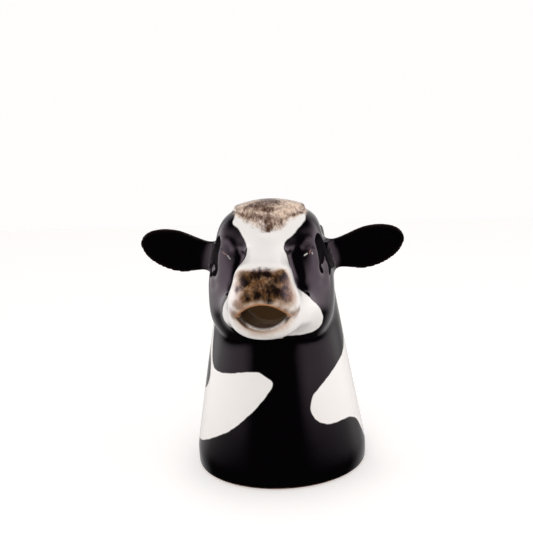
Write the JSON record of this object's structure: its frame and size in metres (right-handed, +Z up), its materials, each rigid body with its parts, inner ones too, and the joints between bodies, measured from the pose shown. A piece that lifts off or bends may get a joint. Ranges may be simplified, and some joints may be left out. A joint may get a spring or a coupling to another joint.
{
  "type": "cow creamer",
  "caption": "Small glazed ceramic jug shaped as a cow's head and neck: filled behind the head, pours through the mouth, with a loop handle at the back.",
  "frame": {"origin": "middle of the foot on the table, which is also the middle of the whole jug's outline seen from above", "axes": "+Z up, the cow looks along -Y, the cow's own left is +X, and the handle is at +Y"},
  "size_m": [0.0974, 0.1032, 0.1044],
  "materials": {
    "coat_glaze": "gloss black and white glaze",
    "eye_glaze": "gloss black glaze",
    "tuft_glaze": "sponged brown under clear gloss glaze"
  },
  "bodies": {
    "root": {"neck_body": "coat_glaze", "head_casting": "coat_glaze", "left_ear": "coat_glaze", "right_ear": "coat_glaze", "left_eye": "eye_glaze", "right_eye": "eye_glaze", "poll_tuft": "tuft_glaze", "handle": "coat_glaze"}
  },
  "joints": []
}
